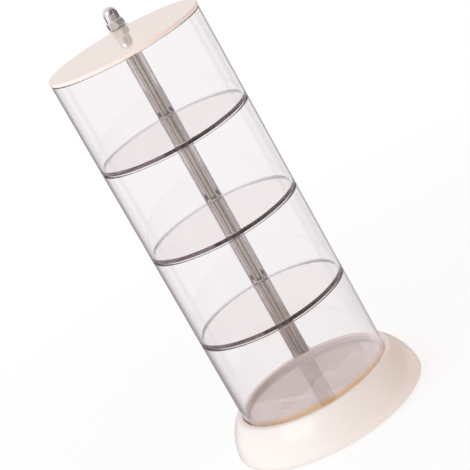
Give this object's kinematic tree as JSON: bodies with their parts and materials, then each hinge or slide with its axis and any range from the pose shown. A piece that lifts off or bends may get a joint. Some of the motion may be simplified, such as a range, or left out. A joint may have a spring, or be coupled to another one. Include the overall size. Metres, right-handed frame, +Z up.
{
  "type": "rotating makeup sponge organizer",
  "caption": "Tiered organizer: clear round cups and a flat lid stacked on a flared round base, each swinging out sideways about one upright rod behind them.",
  "frame": {"origin": "on the surface it stands on, under the middle of the round base", "axes": "+Z up along the stack, +Y towards the hinge rod at the back, +X to the right seen from the front"},
  "size_m": [0.1162, 0.1162, 0.2569],
  "materials": {
    "cream_plastic": "glossy",
    "clear_plastic": "polished clear",
    "rod_steel": "polished",
    "nut_chrome": "polished",
    "screw_steel": "zinc plated",
    "washer_nylon": "satin",
    "foot_silicone": "matte"
  },
  "bodies": {
    "root": {"base_shell": "cream_plastic", "base_cover": "cream_plastic", "cover_screws": "screw_steel", "foot_1": "foot_silicone", "foot_2": "foot_silicone", "foot_3": "foot_silicone", "foot_4": "foot_silicone", "hinge_rod": "rod_steel", "rod_screw": "screw_steel", "rod_washer": "screw_steel", "cup_1": "clear_plastic", "washer_1": "washer_nylon", "washer_2": "washer_nylon", "washer_3": "washer_nylon", "washer_4": "washer_nylon", "cap_nut": "nut_chrome"},
    "cup_2": {"cup_2": "clear_plastic"},
    "cup_3": {"cup_3": "clear_plastic"},
    "cup_4": {"cup_4": "clear_plastic"},
    "lid": {"lid": "cream_plastic"}
  },
  "joints": [
    {"name": "cup_2_swing", "type": "hinge", "parent": "root", "child": "cup_2", "pos_m": [0, 0.0492, 0], "axis": [0, 0, 1], "continuous": true},
    {"name": "cup_3_swing", "type": "hinge", "parent": "root", "child": "cup_3", "pos_m": [0, 0.0492, 0], "axis": [0, 0, 1], "continuous": true},
    {"name": "cup_4_swing", "type": "hinge", "parent": "root", "child": "cup_4", "pos_m": [0, 0.0492, 0], "axis": [0, 0, 1], "continuous": true},
    {"name": "lid_swing", "type": "hinge", "parent": "root", "child": "lid", "pos_m": [0, 0.0492, 0], "axis": [0, 0, 1], "continuous": true}
  ]
}
